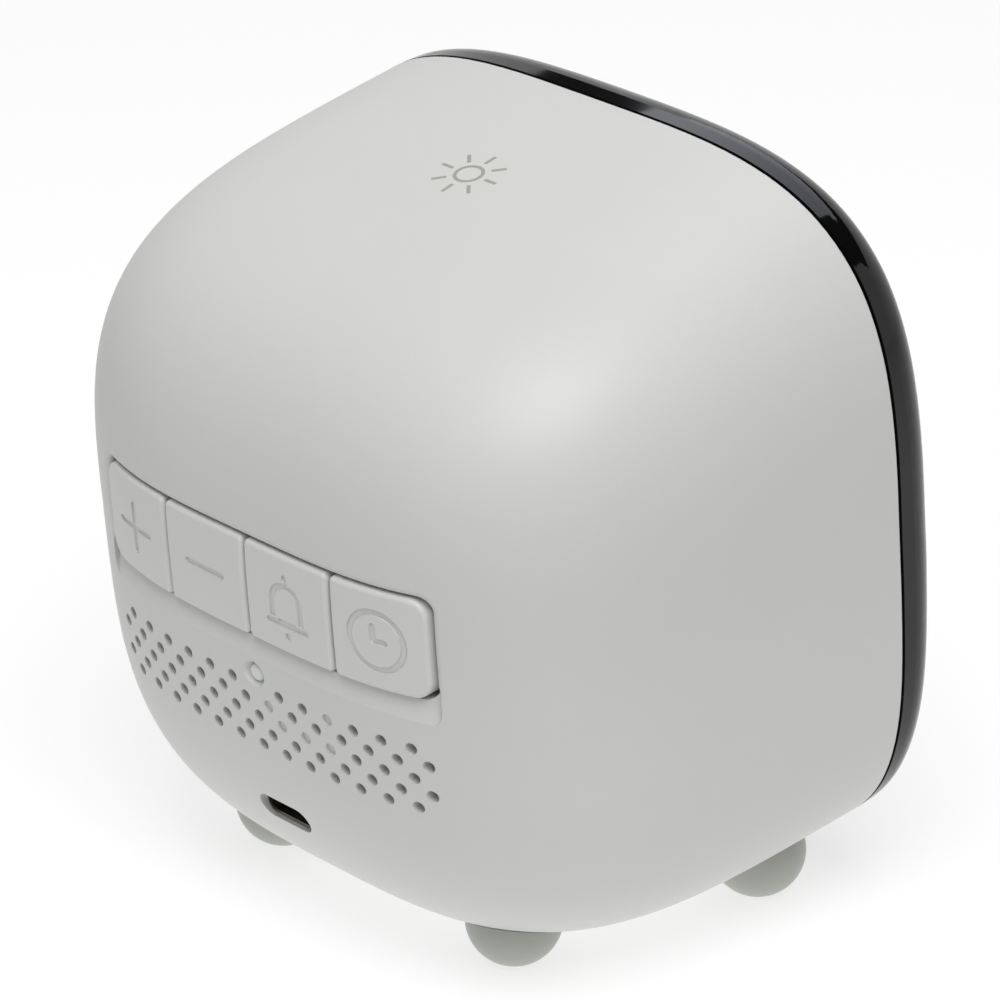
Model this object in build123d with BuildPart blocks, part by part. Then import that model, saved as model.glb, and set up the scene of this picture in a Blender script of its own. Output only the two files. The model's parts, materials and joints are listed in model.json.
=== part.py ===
"""Digital alarm clock: a leaning, soft-cornered shell on ball feet with a dark front and four rear keys."""
import os
from math import atan2, cos, degrees, pi, radians, sin, sqrt

from build123d import *

os.makedirs("parts", exist_ok=True)

# Rear shell, outside: a rounded-square outline that closes in a full curve at the back
body_width = 92.5
body_height = 90.8
shell_depth = 60.2
wall = 2.2
lean_angle = 5.2
side_draw = 0.75
top_draw = 4.8
bottom_swell = 0.5
front_squareness = 3.63
top_squareness = 3.87
bottom_squareness = 3.24
side_bend = 4.05
back_bend = 3.14
ground_gap = 1.85
pole_rise = 1.5
pole_share = 0.024
ring_points = 36
ring_count = 16
skin_tolerance = 0.05
cut_spare = 1.0

# Front: a glossy lens stuck on a frame that plugs into the shell's mouth
front_gap = 0.5
lens_depth = 6.7
lens_dome_radius = 500.0
lens_face = 2.8
lens_pocket = 2.3
lens_land = 3.0
lens_edge_radius = 5.0
lens_wall = 2.2
tape_thickness = 0.5
tape_width = 4.5
tape_setback = 0.3
frame_clearance = 0.25
frame_plate = 2.0
frame_wall = 2.0
frame_tongue = 2.0

# Numeral display and main board
digit_height = 21.0
digit_width = 11.5
digit_pitch = 15.5
digit_count = 4
segment_width = 1.9
segment_gap = 0.25
segment_depth = 1.2
colon_radius = 1.1
display_margin = 3.5
display_clearance = 0.3
display_depth = 8.0
display_setback = 0.2
board_thickness = 1.6
main_board_width = 84.0
main_board_height = 46.0
main_board_corner = 2.0
main_post_inset = 4.5
chip_size = 10.0
chip_height = 1.2
chip_chamfer = 0.3
chip_x = 22.0
cell_radius = 10.0
cell_thickness = 3.2
cell_edge_radius = 0.3
cell_x = -20.0
holder_wall = 1.2
holder_floor = 1.0
cell_clearance = 0.1

# Fasteners: one self-tapping screw serves every post
screw_radius = 1.0
screw_length = 6.0
head_radius = 1.9
head_height = 1.4
head_recess = 0.3
drive_width = 0.5
drive_depth = 0.6
screw_clearance = 0.15
pilot_clearance = 0.05
post_radius = 2.6
corner_post_radius = 3.4
corner_post_x = 34.5
corner_post_height = 33.5
corner_post_length = 12.0

# Key row
key_pitch = 13.95
key_gap = 0.3
key_height = 12.8
key_row_height = 6.1
key_clearance = 0.25
key_face_rise = 0.1
key_edge_radius = 0.6
key_corner_radius = 2.4
key_gap_radius = 0.75
key_travel = 0.5
end_key_trim = 0.6
window_corner_radius = 1.8
window_roll = 0.8
scoop_reach = 2.4
scoop_depth = 0.7
scoop_side = 0.7
scoop_corner = 2.4
collar_wall = 1.6
collar_rise = 0.8
flange_thickness = 1.2
flange_reach = 1.0
flange_clearance = 0.3
key_boss_radius = 1.6
key_boss_length = 2.0
mark_depth = 0.2
mark_stroke = 0.75
mark_length = 6.8
bell_radius = 2.7
bell_leg = 2.2
bell_rise = 0.2
bell_base_drop = 2.6
bell_knob_rise = 3.5
bell_clapper_drop = 4.0
bell_dot_length = 0.95
clock_ring_radius = 4.05
long_hand = 2.6
short_hand = 2.3

# Key board and switches
switch_size = 6.2
switch_height = 3.5
switch_corner = 0.5
plunger_radius = 1.7
plunger_rise = 1.1
plunger_root = 1.2
plunger_clearance = 0.15
bore_spare = 0.3
key_board_margin = 8.6
key_board_corner = 1.5
key_board_post_x = 31.0
key_board_post_drop = 9.0
key_board_post_rise = 5.5
board_edge = 4.2

# Grille of staggered holes
grille_pitch = 4.0
grille_row_pitch = 2.0
grille_top = -7.15
grille_rows = 5
grille_half_count = 6
grille_hole_radius = 0.75
blind_depth = 0.35
blind_holes = ((0, -3.0), (1, -0.5), (2, -1.0), (2, -2.0), (2, -3.0))

# Indicator
indicator_height = -5.5
pipe_radius = 1.15
pipe_clearance = 0.05
pipe_mouth_radius = 1.8
pipe_mouth_depth = 0.8
pipe_dome = 0.5
pipe_boss_radius = 2.4
pipe_boss_length = 4.0
pipe_flange = 0.8
pipe_flange_inset = 0.3
led_width = 3.0
led_height = 1.6
led_rise = 1.2
led_gap = 0.3
led_board_margin = 1.5

# Speaker
speaker_width = 45.0
speaker_height = 15.0
speaker_drop = 15.3
speaker_depth = 4.5
speaker_rim = 2.0
speaker_floor = 1.2
cone_thickness = 0.6
cone_throat_width = 24.0
cone_throat_height = 5.4
cone_clearance = 0.15
cone_setback = 0.3
gasket_width = 1.8
gasket_least = 0.6
gasket_clearance = 0.05
magnet_width = 24.0
magnet_height = 11.0
magnet_depth = 5.1
magnet_corner = 1.5
clamp_height = 9.0
clamp_thickness = 1.8
clamp_corner = 3.0
clamp_post_x = 31.0

# Power inlet
inlet_height = -25.8
slot_width = 8.6
slot_height = 3.6
socket_width = 8.94
socket_height = 3.26
socket_wall = 0.3
socket_length = 7.3
socket_cover = 0.7
socket_clearance = 0.15
tongue_width = 6.6
tongue_thickness = 0.7
tongue_length = 5.2
inlet_board_thickness = 1.2
inlet_board_width = 18.0
inlet_board_length = 14.1
inlet_board_setback = 3.0
inlet_post_x = 6.5
inlet_post_radius = 2.2
inlet_post_inset = 2.6

# Touch pad under the top
touch_depth = 20.9
touch_radius = 6.0
touch_thickness = 0.3
touch_boss_drop = 1.2
touch_margin = 0.5

# Leads
cable_radius = 1.4
lead_radius = 0.6
lead_spacing = 3.0
lead_bend = 5.0
cable_start = (-10.0, 12.0)
cable_end_x = -14.0
cable_end_rise = 2.0
speaker_lead_start = -14.0
speaker_lead_drop = 1.4
inlet_lead_start = -19.0
touch_lead_start = 18.0

# Ball feet, placed from the middle of the body
foot_radius = 5.9
foot_flat_radius = 2.0
rear_foot_x = 20.4
rear_foot_y = 7.3
front_foot_x = 29.2
front_foot_y = -25.4
foot_peg_radius = 2.0
foot_peg_clearance = 0.1
foot_peg_reach = 2.0
foot_seat_clearance = 0.03

# Worked out from the values above
half_width = body_width / 2
half_height = body_height / 2
lean = radians(lean_angle)
back_dir = Vector(0, cos(lean), -sin(lean))
up_dir = Vector(0, sin(lean), cos(lean))
side_dir = Vector(1, 0, 0)
lens_front = front_gap + lens_depth
lens_apex = lens_front + lens_dome_radius - sqrt(lens_dome_radius**2 - half_width**2)
key_width = key_pitch - key_gap
key_names = ("plus", "minus", "alarm", "time")
strip_width = len(key_names) * key_pitch - key_gap - 2 * end_key_trim
window_width = strip_width + 2 * key_clearance
window_height = key_height + 2 * key_clearance
key_face_drop = -key_face_rise


def bend_share(t):
    """Share of the outline left at share t of the depth"""
    return max(1 - t**side_bend, 0) ** (1 / back_bend)


def outline_sizes(t, inset):
    """Half width, rise, drop, centre height and the two squareness values at share t of the depth"""
    share = bend_share(t)
    across = (half_width - inset - side_draw * t) * share
    rise = (half_height - inset - top_draw * t) * share
    drop = (half_height - inset + bottom_swell * t) * share
    centre = pole_rise * (1 - share) ** 4
    top_power = front_squareness + (top_squareness - front_squareness) * t
    bottom_power = front_squareness + (bottom_squareness - front_squareness) * t
    return across, rise, drop, centre, top_power, bottom_power


def outline_points(t, inset, first_turn):
    """Points of the rounded-square outline at share t of the depth, from the first turn round"""
    across, rise, drop, centre, top_power, bottom_power = outline_sizes(t, inset)
    points = []
    for step in range(ring_points):
        turn = first_turn + 2 * pi * step / ring_points
        reach, power = (rise, top_power) if sin(turn) >= 0 else (drop, bottom_power)
        radius = (abs(cos(turn) / across) ** power + abs(sin(turn) / reach) ** power) ** (-1 / power)
        points.append((radius * cos(turn), centre + radius * sin(turn)))
    return points


def station(angle):
    """Share of the depth where a line at this angle from the mouth's plane meets the curve of the side"""
    near, far = 0.0, 2.0
    for _ in range(60):
        reach = (near + far) / 2
        inside = (reach * sin(angle)) ** side_bend + (reach * cos(angle)) ** back_bend < 1
        near, far = (reach, far) if inside else (near, reach)
    return near * sin(angle)


def back_depth(x, height, inset=0.0):
    """Depth of the skin behind a point of the mouth's plane"""
    near, far = 0.0, 1.0
    for _ in range(50):
        t = (near + far) / 2
        across, rise, drop, centre, top_power, bottom_power = outline_sizes(t, inset)
        above = height - centre
        reach, power = (rise, top_power) if above >= 0 else (drop, bottom_power)
        fits = across > abs(x) and reach > abs(above)
        inside = fits and abs(x / across) ** power + abs(above / reach) ** power < 1
        near, far = (t, far) if inside else (near, t)
    return near * (shell_depth - inset)


def bottom_height(x, depth, inset=0.0):
    """Height of the underside at a depth, negative below the middle"""
    across, _, drop, centre, _, power = outline_sizes(depth / (shell_depth - inset), inset)
    return centre - drop * (1 - abs(x / across) ** power) ** (1 / power)


# The middle of the body stands where the feet leave the ground gap and the whole box is centred
samples = [step / 200 for step in range(200)]
lowest = min((shell_depth * (0.5 - t)) * sin(lean) - outline_sizes(t, 0)[2] * cos(lean) for t in samples)
rear_reach = max((shell_depth * (t - 0.5)) * cos(lean) + outline_sizes(t, 0)[1] * sin(lean) for t in samples)
key_top = key_row_height + key_height / 2
key_top_depth = back_depth(0, key_top, key_face_drop) - shell_depth / 2
rear_reach = max(rear_reach, key_top_depth * cos(lean) + key_top * sin(lean))
curl_height = half_height - lens_edge_radius
curl_depth = sqrt((lens_dome_radius - lens_edge_radius) ** 2 - curl_height**2) - lens_dome_radius + lens_apex
front_reach = (curl_depth + shell_depth / 2) * cos(lean) + curl_height * sin(lean) + lens_edge_radius
middle = Vector(0, (front_reach - rear_reach) / 2, ground_gap - lowest)
seam_centre = middle - back_dir * (shell_depth / 2)
depth_axis = Axis(tuple(seam_centre), tuple(back_dir))


def body_point(x, depth, height):
    """Point at a side offset, a depth behind the mouth and a height along the lean"""
    return seam_centre + side_dir * x + back_dir * depth + up_dir * height


def back_plane(depth):
    """Plane across the body, seen from behind: sketch x runs to the right, sketch y up the lean"""
    return Plane(origin=body_point(0, depth, 0), x_dir=-side_dir, z_dir=back_dir)


def shelf_plane(height):
    """Plane along the body: sketch x is the side offset, sketch y the depth"""
    return Plane(origin=body_point(0, 0, height), x_dir=side_dir, z_dir=up_dir)


def outline_face(t, inset, depth, first_turn=0.0):
    """Face of the rounded-square outline at one depth"""
    with BuildSketch(back_plane(depth)) as ring:
        with BuildLine():
            points = outline_points(t, inset, first_turn)
            add(Edge.make_spline(points, periodic=True, parameters=range(ring_points + 1)))
        make_face()
    return ring.sketch


def skin(inset, mode=Mode.ADD, first_turn=0.0):
    """Closed body inside the shell's outside by the inset, with its surface seam along the first turn"""
    share_angle = pi / 2 - pole_share
    stations = [station(share_angle * step / ring_count) for step in range(ring_count + 1)]
    rings = [outline_face(t, inset, t * (shell_depth - inset), first_turn) for t in stations]
    loft(sections=[ring.face() for ring in rings], mode=mode)


def prism(sketch, amount, mode=Mode.ADD):
    """Extrude a placed sketch along its plane's normal"""
    extrude(sketch.sketch, amount=amount, mode=mode)


def front_slab(inset, depth, amount, mode=Mode.ADD):
    """Slab of the front outline between two depths"""
    extrude(outline_face(0, inset, depth), amount=amount, mode=mode)


def rods(plane, centres, radius, length, mode=Mode.ADD):
    """Round posts or holes that stand on a plane"""
    with BuildSketch(plane) as dots:
        with Locations(*centres):
            Circle(radius)
    prism(dots, length, mode)


def mirrored(x, *heights):
    """Places at both sides of the middle, at each height"""
    return [(side * x, height) for height in heights for side in (-1, 1)]


def finish(piece, name):
    """Name a piece and write it"""
    piece.label = name
    export_step(piece, f"parts/{name}.step")


# Depths of the key row, from the shell's collar inwards
collar_half_width = window_width / 2 + collar_wall
collar_half_height = window_height / 2 + collar_wall
collar_top = key_row_height + collar_half_height
collar_face = back_depth(collar_half_width, collar_top, wall) - collar_rise
flange_back = collar_face - flange_clearance
flange_front = flange_back - flange_thickness
boss_front = flange_front - key_boss_length
switch_back = boss_front - plunger_rise
key_board_back = switch_back - switch_height
key_board_front = key_board_back - board_thickness
key_board_top = key_row_height + key_board_margin
key_board_bottom = indicator_height - led_height / 2 - led_board_margin
key_post_top = key_row_height + key_board_post_rise
key_post_bottom = key_row_height - key_board_post_drop
key_posts = mirrored(key_board_post_x, key_post_bottom, key_post_top)
key_board_half_width = key_board_post_x + board_edge
key_xs = [(index - (len(key_names) - 1) / 2) * key_pitch for index in range(len(key_names))]
end_face_x = (key_pitch + key_gap / 2 + strip_width / 2) / 2

# Depths of the speaker, from the gasket inwards
speaker_end_radius = speaker_height / 2
speaker_turn = radians(45)
speaker_corner_x = speaker_width / 2 - speaker_end_radius * (1 - cos(speaker_turn))
speaker_corner_height = -speaker_drop - speaker_end_radius * sin(speaker_turn)
speaker_low = back_depth(speaker_width / 2 - speaker_end_radius, -speaker_drop - speaker_end_radius, wall)
speaker_side = back_depth(speaker_width / 2, -speaker_drop, wall)
speaker_diagonal = back_depth(speaker_corner_x, speaker_corner_height, wall)
speaker_front = min(speaker_low, speaker_side, speaker_diagonal) - gasket_least
speaker_back = speaker_front - speaker_depth
magnet_back = speaker_back - magnet_depth
clamp_front = magnet_back - clamp_thickness
clamp_posts = mirrored(clamp_post_x, -speaker_drop)

# Inlet, from the socket's mouth inwards
socket_mouth = back_depth(socket_width / 2, inlet_height - socket_height / 2) - socket_cover
socket_back = socket_mouth - socket_length
inlet_board_top = inlet_height - socket_height / 2
inlet_board_underside = inlet_board_top - inlet_board_thickness
inlet_board_back = socket_mouth - inlet_board_setback
inlet_board_front = inlet_board_back - inlet_board_length
inlet_posts = mirrored(inlet_post_x, inlet_board_front + inlet_post_inset)

# Front stack
frame_front = tape_thickness - front_gap - lens_pocket
frame_inset = wall + frame_clearance
lens_floor = -front_gap - lens_pocket
display_width = (digit_count - 1) * digit_pitch + digit_width + 2 * display_margin
display_height = digit_height + 2 * display_margin
display_front = frame_front + display_setback
display_back = display_front + display_depth
main_board_back = display_back + board_thickness
main_posts = mirrored(main_board_width / 2 - main_post_inset, main_board_height / 2 - main_post_inset)
main_posts += mirrored(main_board_width / 2 - main_post_inset, main_post_inset - main_board_height / 2)
corner_posts = mirrored(corner_post_x, corner_post_height, -corner_post_height)
screw_seat = frame_front + head_height + head_recess

# Touch pad seat under the top
touch_top = half_height - wall - top_draw * touch_depth / shell_depth - touch_boss_drop
touch_underside = touch_top - touch_thickness

# Feet
foot_centre_height = sqrt(foot_radius**2 - foot_flat_radius**2)
foot_places = {
    "foot_front_left": (-front_foot_x, front_foot_y),
    "foot_front_right": (front_foot_x, front_foot_y),
    "foot_rear_left": (-rear_foot_x, rear_foot_y),
    "foot_rear_right": (rear_foot_x, rear_foot_y),
}


def peg_top(x, y):
    """Height above the ground of a foot's peg, a little way inside the shell"""
    depth = y + shell_depth / 2
    inner = bottom_height(x, depth, wall)
    return middle.Z - y * sin(lean) + inner * cos(lean) + foot_peg_reach


def grille_places(blind):
    """Hole centres of the staggered grille, either the open ones or the blind ones"""
    places = []
    for row in range(grille_rows):
        reach = grille_half_count + 0.5 * (row % 2)
        count = int(2 * reach) + 1
        for index in range(count):
            column = index - reach
            at_indicator = row == 0 and column == 0
            if not at_indicator and ((row, -column) in blind_holes) == blind:
                places.append((column * grille_pitch, grille_top - row * grille_row_pitch))
    return places


def skin_edge(edge):
    """True for an edge that lies on the shell's outside"""
    offset = edge.center() - seam_centre
    return abs(back_depth(offset.X, offset.dot(up_dir)) - offset.dot(back_dir)) < skin_tolerance


# Space inside the shell, with posts, collar and seats left standing
with BuildPart() as cavity:
    skin(wall)
    front_slab(wall, 0, -cut_spare)
    with BuildSketch(back_plane(collar_face)) as collar:
        with Locations((0, key_row_height)):
            collar_corner = window_corner_radius + collar_wall
            RectangleRounded(2 * collar_half_width, 2 * collar_half_height, collar_corner)
    prism(collar, shell_depth, Mode.SUBTRACT)
    rods(back_plane(key_board_back), key_posts, post_radius, shell_depth, Mode.SUBTRACT)
    rods(back_plane(magnet_back), clamp_posts, post_radius, shell_depth, Mode.SUBTRACT)
    pipe_boss_front = back_depth(0, indicator_height, wall) - pipe_boss_length
    rods(back_plane(pipe_boss_front), [(0, indicator_height)], pipe_boss_radius, shell_depth, Mode.SUBTRACT)
    rods(back_plane(frame_tongue), corner_posts, corner_post_radius, corner_post_length, Mode.SUBTRACT)
    rods(shelf_plane(inlet_board_underside), inlet_posts, inlet_post_radius, -half_height, Mode.SUBTRACT)
    rods(shelf_plane(touch_top), [(0, touch_depth)], touch_radius, half_height, Mode.SUBTRACT)

# Blind grille holes stop inside the wall
with BuildPart() as blind_cut:
    rods(back_plane(shell_depth / 2), grille_places(True), grille_hole_radius, shell_depth)
    skin(blind_depth, Mode.SUBTRACT)

# Scoop below the keys: the outside tipped inwards about the scoop's lower edge
window_bottom = key_row_height - window_height / 2
scoop_bottom = window_bottom - scoop_reach
scoop_hinge = body_point(0, back_depth(0, scoop_bottom), scoop_bottom)
scoop_tip = degrees(atan2(scoop_depth, scoop_reach))
scoop_height = 2 * (scoop_reach + cut_spare)
with BuildPart() as scoop_floor:
    skin(0)
with BuildPart() as scoop:
    with BuildSketch(back_plane(shell_depth / 2)) as scoop_outline:
        with Locations((0, window_bottom)):
            RectangleRounded(window_width + 2 * scoop_side, scoop_height, scoop_corner)
    prism(scoop_outline, shell_depth)
    add(scoop_floor.part.rotate(Axis(tuple(scoop_hinge), tuple(side_dir)), scoop_tip), mode=Mode.SUBTRACT)

with BuildPart() as rear_shell:
    skin(0)
    add(cavity.part, mode=Mode.SUBTRACT)
    with BuildSketch(back_plane(collar_face - cut_spare)) as window:
        with Locations((0, key_row_height)):
            RectangleRounded(window_width, window_height, window_corner_radius)
    prism(window, shell_depth, Mode.SUBTRACT)
    fillet(rear_shell.edges(Select.LAST).filter_by(skin_edge), window_roll)
    add(scoop.part, mode=Mode.SUBTRACT)
    grille_bottom = grille_top - (grille_rows - 1) * grille_row_pitch
    grille_start = back_depth((grille_half_count + 1) * grille_pitch, grille_bottom, wall) - cut_spare
    rods(back_plane(grille_start), grille_places(False), grille_hole_radius, shell_depth, Mode.SUBTRACT)
    add(blind_cut.part, mode=Mode.SUBTRACT)
    hole_start = back_plane(pipe_boss_front - cut_spare)
    rods(hole_start, [(0, indicator_height)], pipe_radius + pipe_clearance, shell_depth, Mode.SUBTRACT)
    indicator_skin = back_depth(0, indicator_height)
    with BuildSketch(back_plane(indicator_skin - pipe_mouth_depth)) as mouth_floor:
        with Locations((0, indicator_height)):
            Circle(pipe_radius + pipe_clearance)
    with BuildSketch(back_plane(indicator_skin + skin_tolerance)) as mouth_rim:
        with Locations((0, indicator_height)):
            Circle(pipe_mouth_radius)
    loft(sections=[mouth_floor.sketch.face(), mouth_rim.sketch.face()], mode=Mode.SUBTRACT)
    with BuildSketch(back_plane(socket_mouth - cut_spare)) as slot:
        with Locations((0, inlet_height)):
            SlotOverall(slot_width, slot_height)
    prism(slot, shell_depth, Mode.SUBTRACT)
    with BuildSketch(back_plane(socket_mouth + socket_clearance)) as socket_pocket:
        with Locations((0, inlet_height)):
            SlotOverall(socket_width + 2 * socket_clearance, socket_height + 2 * socket_clearance)
    prism(socket_pocket, -socket_length, Mode.SUBTRACT)
    pilot = screw_radius + pilot_clearance
    rods(back_plane(frame_tongue), corner_posts, pilot, screw_length, Mode.SUBTRACT)
    rods(back_plane(key_board_back), key_posts, pilot, screw_length - board_thickness, Mode.SUBTRACT)
    rods(back_plane(magnet_back), clamp_posts, pilot, screw_length, Mode.SUBTRACT)
    rods(shelf_plane(inlet_board_underside), inlet_posts, pilot, -screw_length, Mode.SUBTRACT)
    for foot_x, foot_y in foot_places.values():
        peg_hole = Plane(origin=(foot_x, middle.Y + foot_y, 0))
        hole_length = peg_top(foot_x, foot_y) + foot_peg_reach
        rods(peg_hole, [(0, 0)], foot_peg_radius + foot_peg_clearance, hole_length, Mode.SUBTRACT)
finish(rear_shell.part, "rear_shell")


def front_plane(depth):
    """Plane across the body that faces the front"""
    return Plane(origin=body_point(0, depth, 0), x_dir=side_dir, z_dir=-back_dir)


def screws(plane, places):
    """Slotted pan-head screws whose heads stand on a plane and whose shanks go through it"""
    rods(plane, places, head_radius, head_height)
    rods(plane, places, screw_radius, -screw_length)
    with BuildSketch(plane.offset(head_height - drive_depth)) as drive:
        with Locations(*places):
            Rectangle(2 * head_radius, drive_width)
    prism(drive, head_height, Mode.SUBTRACT)


def plate(depth, thickness, width, low, high, corner, holes):
    """Rounded board across the body with screw holes"""
    with BuildSketch(back_plane(depth)) as sheet:
        with Locations((0, (low + high) / 2)):
            RectangleRounded(width, high - low, corner)
        with Locations(*holes):
            Circle(clear_hole, mode=Mode.SUBTRACT)
    prism(sheet, thickness)


def block(depth, thickness, width, height, x, centre_height, mode=Mode.ADD):
    """Rectangular block across the body"""
    with BuildSketch(back_plane(depth)) as face:
        with Locations((x, centre_height)):
            Rectangle(width, height)
    prism(face, thickness, mode)


def oval(depth, width, height, centre_height):
    """Sketch of a long round-ended opening across the body"""
    with BuildSketch(back_plane(depth)) as shape:
        with Locations((0, centre_height)):
            SlotOverall(width, height)
    return shape


clear_hole = screw_radius + screw_clearance


def dome(radius, mode):
    """Ball that shapes the lens, with the lens's dome centre"""
    with Locations(tuple(body_point(0, lens_dome_radius - lens_apex, 0))):
        Sphere(radius, mode=mode)


# Hollow behind the domed window, inside the land that takes the tape
with BuildPart() as lens_hollow:
    front_slab(lens_wall + tape_width + lens_land, lens_floor, -lens_apex)
    dome(lens_dome_radius - lens_face, Mode.INTERSECT)

# Front lens: a dark domed cap with a rolled edge and a pocket that takes the frame
with BuildPart() as front_lens:
    front_slab(0, -front_gap, -lens_apex)
    dome(lens_dome_radius, Mode.INTERSECT)
    rim = front_lens.faces().sort_by(depth_axis)[0]
    fillet(rim.edges(), lens_edge_radius)
    front_slab(lens_wall, lens_floor, -lens_floor, Mode.SUBTRACT)
    add(lens_hollow.part, mode=Mode.SUBTRACT)
finish(front_lens.part, "front_lens")

with BuildPart() as lens_tape:
    tape_inset = frame_inset + tape_setback
    front_slab(tape_inset, lens_floor, tape_thickness)
    front_slab(tape_inset + tape_width, lens_floor, tape_thickness, Mode.SUBTRACT)
finish(lens_tape.part, "lens_tape")

# Space behind the frame's plate, with its posts left standing
with BuildPart() as frame_pocket:
    front_slab(frame_inset + frame_wall, frame_front + frame_plate, frame_tongue - frame_front)
    rods(back_plane(frame_front), corner_posts, corner_post_radius, shell_depth, Mode.SUBTRACT)
    rods(back_plane(frame_front), main_posts, post_radius, shell_depth, Mode.SUBTRACT)

with BuildPart() as front_frame:
    front_slab(frame_inset, frame_front, frame_tongue - frame_front)
    add(frame_pocket.part, mode=Mode.SUBTRACT)
    rods(back_plane(frame_tongue), main_posts, post_radius, display_back - frame_tongue)
    opening_width = display_width + 2 * display_clearance
    opening_height = display_height + 2 * display_clearance
    block(frame_front - cut_spare, shell_depth, opening_width, opening_height, 0, 0, Mode.SUBTRACT)
    rods(back_plane(frame_front), corner_posts, clear_hole, frame_tongue - frame_front, Mode.SUBTRACT)
    rods(back_plane(screw_seat), corner_posts, head_radius + screw_clearance, -shell_depth, Mode.SUBTRACT)
    rods(back_plane(display_back), main_posts, pilot, board_thickness - screw_length, Mode.SUBTRACT)
finish(front_frame.part, "front_frame")

with BuildPart() as frame_screws:
    screws(front_plane(screw_seat), corner_posts)
finish(frame_screws.part, "frame_screws")


def numeral_bars(depth, spare):
    """Sketch of every bar and dot of the numerals, grown by a little"""
    across = digit_width - segment_width - 2 * segment_gap + 2 * spare
    along = (digit_height - segment_width) / 2 - 2 * segment_gap + 2 * spare
    half = segment_width / 2 + spare - segment_gap
    level_step = (digit_height - segment_width) / 2
    column_step = (digit_width - segment_width) / 2

    def bar(length, turn):
        tip = length / 2
        shoulder = tip - half
        upper = [(-tip, 0), (-shoulder, half), (shoulder, half), (tip, 0)]
        Polygon(*upper, (shoulder, -half), (-shoulder, -half), rotation=turn)

    with BuildSketch(back_plane(depth)) as bars:
        for index in range(digit_count):
            x = (index - (digit_count - 1) / 2) * digit_pitch
            with Locations(*[(x, level * level_step) for level in (-1, 0, 1)]):
                bar(across, 0)
            for side in (-1, 1):
                column = x + side * column_step
                with Locations((column, level_step / 2), (column, -level_step / 2)):
                    bar(along, 90)
        with Locations((0, level_step / 2), (0, -level_step / 2)):
            Circle(colon_radius + spare)
    return bars


with BuildPart() as display_housing:
    block(display_front, display_depth, display_width, display_height, 0, 0)
    prism(numeral_bars(display_front, display_clearance / 4), segment_depth, Mode.SUBTRACT)
finish(display_housing.part, "display_housing")

with BuildPart() as digit_segments:
    prism(numeral_bars(display_front, 0), segment_depth)
finish(digit_segments.part, "digit_segments")

with BuildPart() as main_board:
    low, high = -main_board_height / 2, main_board_height / 2
    plate(display_back, board_thickness, main_board_width, low, high, main_board_corner, main_posts)
finish(main_board.part, "main_board")

with BuildPart() as main_board_screws:
    screws(back_plane(main_board_back), main_posts)
finish(main_board_screws.part, "main_board_screws")

with BuildPart() as controller_chip:
    block(main_board_back, chip_height, chip_size, chip_size, -chip_x, 0)
    chamfer(controller_chip.faces().sort_by(depth_axis)[-1].edges(), chip_chamfer)
finish(controller_chip.part, "controller_chip")

# Coin cell in a round tray on the main board
with BuildPart() as cell_holder:
    tray_radius = cell_radius + cell_clearance + holder_wall
    cell_place = [(-cell_x, 0)]
    rods(back_plane(main_board_back), cell_place, tray_radius, holder_floor + cell_thickness)
    tray_floor = back_plane(main_board_back + holder_floor)
    rods(tray_floor, cell_place, cell_radius + cell_clearance, cell_thickness, Mode.SUBTRACT)
    floor_depth = main_board_back + holder_floor
    block(floor_depth, cell_thickness, 2 * tray_radius, cell_radius, -cell_x, 0, Mode.SUBTRACT)
finish(cell_holder.part, "cell_holder")

with BuildPart() as backup_cell:
    rods(tray_floor, cell_place, cell_radius, cell_thickness)
    fillet(backup_cell.edges(), cell_edge_radius)
finish(backup_cell.part, "backup_cell")

# Bodies that shape the key faces and the floor of their engraved marks, with the seam clear of every key
with BuildPart() as key_face_body:
    skin(key_face_drop, first_turn=pi / 2)

with BuildPart() as mark_floor_body:
    skin(key_face_drop + mark_depth, first_turn=pi / 2)


def stroke(x, height, length, turn):
    """Round-ended stroke of a mark"""
    with Locations((x, height)):
        SlotOverall(length, mark_stroke, rotation=turn)


def plus_mark(x):
    """Two crossed strokes"""
    stroke(x, key_row_height, mark_length, 0)
    stroke(x, key_row_height, mark_length, 90)


def minus_mark(x):
    """One level stroke"""
    stroke(x, key_row_height, mark_length, 0)


def alarm_mark(x):
    """Bell outline with a knob, a base bar and a clapper"""
    middle_height = key_row_height + bell_rise
    for radius, mode in ((bell_radius, Mode.ADD), (bell_radius - mark_stroke, Mode.SUBTRACT)):
        with Locations((x, middle_height)):
            Circle(radius, mode=mode)
        with Locations((x, middle_height - bell_leg / 2)):
            Rectangle(2 * radius, bell_leg, mode=mode)
    stroke(x, key_row_height - bell_base_drop, mark_length, 0)
    stroke(x, key_row_height + bell_knob_rise, bell_dot_length, 90)
    stroke(x, key_row_height - bell_clapper_drop, bell_dot_length, 90)


def time_mark(x):
    """Clock face with two hands"""
    with Locations((x, key_row_height)):
        Circle(clock_ring_radius)
        Circle(clock_ring_radius - mark_stroke, mode=Mode.SUBTRACT)
    pivot_x = x - mark_stroke / 2
    stroke(pivot_x, key_row_height + (long_hand - mark_stroke) / 2, long_hand, 90)
    stroke(pivot_x + (short_hand - mark_stroke) / 2, key_row_height, short_hand, 0)


mark_makers = {"plus": plus_mark, "minus": minus_mark, "alarm": alarm_mark, "time": time_mark}


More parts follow.
